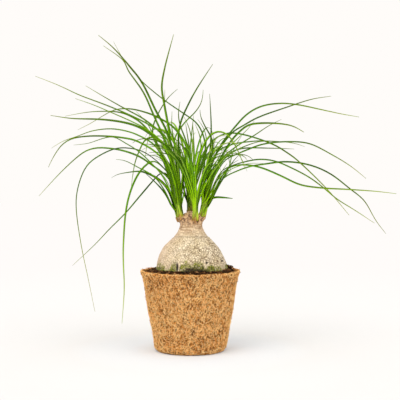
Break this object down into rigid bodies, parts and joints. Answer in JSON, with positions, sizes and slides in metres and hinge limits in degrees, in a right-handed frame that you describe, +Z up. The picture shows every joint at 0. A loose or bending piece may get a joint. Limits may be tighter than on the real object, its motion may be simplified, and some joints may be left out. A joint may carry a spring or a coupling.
{
  "type": "potted ponytail palm",
  "caption": "Young ponytail palm with a swollen bulb-like stem and arching grassy leaves, standing in soil in a tapered pot of pressed coconut fibre.",
  "frame": {"origin": "centre of the pot's flat underside, on the surface that it stands on", "axes": "+Z up along the pot's axis, +X to the right as seen from the front, +Y away from the front; the longest spread of the leaves is along X"},
  "size_m": [0.4453, 0.3612, 0.4045],
  "materials": {
    "coir": "matte",
    "soil": "matte",
    "stem": "matte",
    "leaves": "satin"
  },
  "bodies": {
    "root": {"pot": "coir", "soil": "soil", "stem": "stem", "crown_left": "leaves", "crown_far_left": "leaves", "crown_back": "leaves", "crown_front": "leaves", "crown_right": "leaves"}
  },
  "joints": []
}
